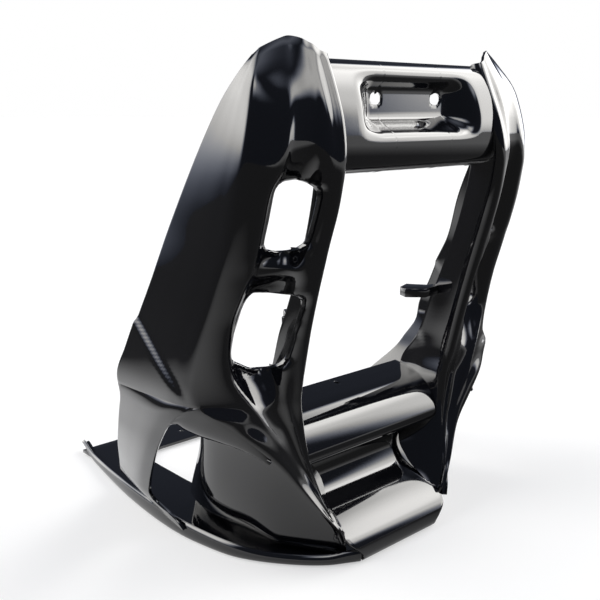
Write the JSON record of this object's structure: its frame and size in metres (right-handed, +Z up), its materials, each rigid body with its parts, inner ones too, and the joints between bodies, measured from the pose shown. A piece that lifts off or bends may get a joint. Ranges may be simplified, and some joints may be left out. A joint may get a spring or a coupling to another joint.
{
  "type": "motorcycle radiator cover",
  "caption": "Hollow one-piece moulded front cover for a motorcycle radiator, with two finned uprights, a bolted bridge, a bar, a tray, side scoops and a flat belly.",
  "frame": {"origin": "under the middle of the cover, on the plane its belly stands on", "axes": "+Z up, -Y to the front of the motorcycle, +X to the left of someone who faces the front of the cover from the rear, so to the right of someone who looks at its front"},
  "size_m": [0.461, 0.479, 0.511],
  "materials": {
    "gloss_black": "deep gloss, clear coated"
  },
  "bodies": {
    "root": {"radiator_cover": "gloss_black"}
  },
  "joints": []
}
